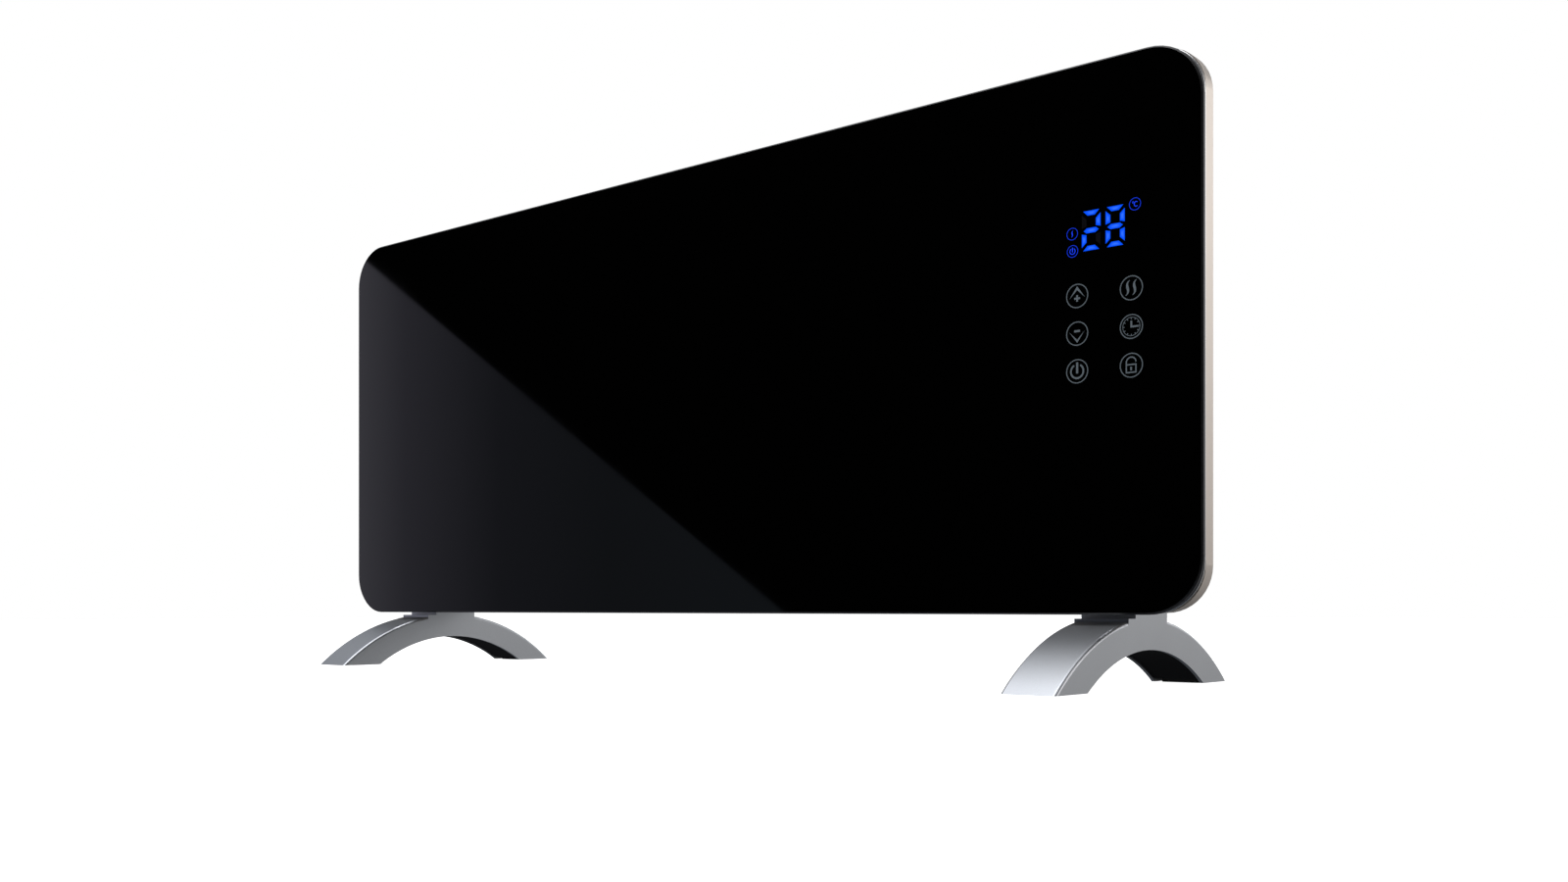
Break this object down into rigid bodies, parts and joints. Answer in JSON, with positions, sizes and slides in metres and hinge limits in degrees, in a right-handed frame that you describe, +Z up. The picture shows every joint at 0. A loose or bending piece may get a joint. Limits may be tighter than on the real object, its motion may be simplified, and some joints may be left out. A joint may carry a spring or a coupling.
{
  "type": "glass panel convector heater",
  "caption": "Free-standing electric convector heater: black glass front with touch controls and display, shallow metal casing, vented rear box, arched feet.",
  "frame": {"origin": "on the floor, midway between the two feet and midway between their toes", "axes": "+X along the panel's width, to the right seen from the front; +Y towards the back; +Z up. The glass faces -Y."},
  "size_m": [0.88, 0.252, 0.409],
  "materials": {
    "black_glass": "polished tempered glass with a black printed back",
    "foam": "closed-cell foam",
    "carrier_steel": "zinc-plated steel sheet",
    "casing_paint": "champagne-silver powder coat",
    "cover_paint": "black powder coat",
    "zinc_steel": "zinc plated",
    "shield_steel": "aluminised steel sheet",
    "grille_plastic": "heat-resistant moulding",
    "fin_aluminium": "extruded",
    "rod_steel": "oxidised stainless steel",
    "ceramic": "steatite ceramic",
    "phenolic": "phenolic moulding",
    "fuse_sleeve": "silicone glass sleeve",
    "sensor_epoxy": "epoxy-dipped bead on a holder",
    "inner_plastic": "flame-retardant moulding",
    "board": "glass-epoxy circuit board",
    "display_plastic": "display block",
    "light_guide": "clear moulding",
    "spring_steel": "spring wire",
    "relay_plastic": "sealed relay case",
    "transformer_plastic": "taped winding",
    "capacitor_sleeve": "shrink sleeve",
    "terminal_plastic": "polyamide moulding",
    "switch_plastic": "moulded",
    "rocker_plastic": "moulded",
    "tinned_brass": "tinned",
    "gland_nylon": "nylon",
    "foot_silver": "silver lacquer",
    "foot_black": "moulded",
    "pad_rubber": "moulded",
    "lead_insulation": "silicone insulation",
    "earth_insulation": "green and yellow insulation",
    "ribbon": "flat cable",
    "pendulum_brass": "turned"
  },
  "bodies": {
    "heater": {"glass_panel": "black_glass", "bonding_tape": "foam", "glass_carrier": "carrier_steel", "joint_gasket": "foam", "casing_tray": "casing_paint", "panel_screws": "zinc_steel", "cover_screws": "zinc_steel", "rear_cover": "cover_paint", "outlet_grille": "grille_plastic", "hanger_plates": "zinc_steel", "heat_shield": "shield_steel", "partition_plate": "shield_steel", "element_fins_1": "fin_aluminium", "element_fins_2": "fin_aluminium", "element_rod_1": "rod_steel", "element_rod_2": "rod_steel", "element_bracket_left": "shield_steel", "element_bracket_right": "shield_steel", "ceramic_bushes": "ceramic", "thermal_cutout": "phenolic", "thermal_fuse": "fuse_sleeve", "fuse_clip": "zinc_steel", "shield_rivets": "fin_aluminium", "room_sensor": "sensor_epoxy", "control_housing": "inner_plastic", "control_board": "board", "control_screws": "zinc_steel", "display_module": "display_plastic", "indicator_light_guides": "light_guide", "touch_springs": "spring_steel", "power_board": "board", "board_standoffs": "tinned_brass", "relays": "relay_plastic", "board_transformer": "transformer_plastic", "board_capacitors": "capacitor_sleeve", "terminal_block": "terminal_plastic", "tilt_housing": "inner_plastic", "tilt_lid": "inner_plastic", "tilt_pivot_pin": "zinc_steel", "tilt_optical_sensor": "sensor_epoxy", "switch_housing": "switch_plastic", "switch_terminals": "tinned_brass", "cord_gland": "gland_nylon", "gland_nut": "gland_nylon", "foot_shell_left": "foot_silver", "foot_shell_right": "foot_silver", "foot_liner_left": "foot_black", "foot_liner_right": "foot_black", "foot_pads": "pad_rubber", "foot_screws": "zinc_steel", "foot_nut_plates": "zinc_steel", "switch_leads": "lead_insulation", "element_leads": "lead_insulation", "earth_stud": "tinned_brass", "earth_lead": "earth_insulation", "ribbon_cable": "ribbon"},
    "tilt pendulum": {"tilt_pendulum": "pendulum_brass"},
    "rocker": {"rocker": "rocker_plastic"}
  },
  "joints": [
    {"name": "tilt_swing", "type": "hinge", "parent": "heater", "child": "tilt pendulum", "pos_m": [0.293, 0.01, 0.1018], "axis": [1, 0, 0], "range_deg": [-40, 40]},
    {"name": "rocker_hinge", "type": "hinge", "parent": "heater", "child": "rocker", "pos_m": [0.391, 0.01, 0.113], "axis": [0, 1, 0], "range_deg": [0, 20]}
  ]
}
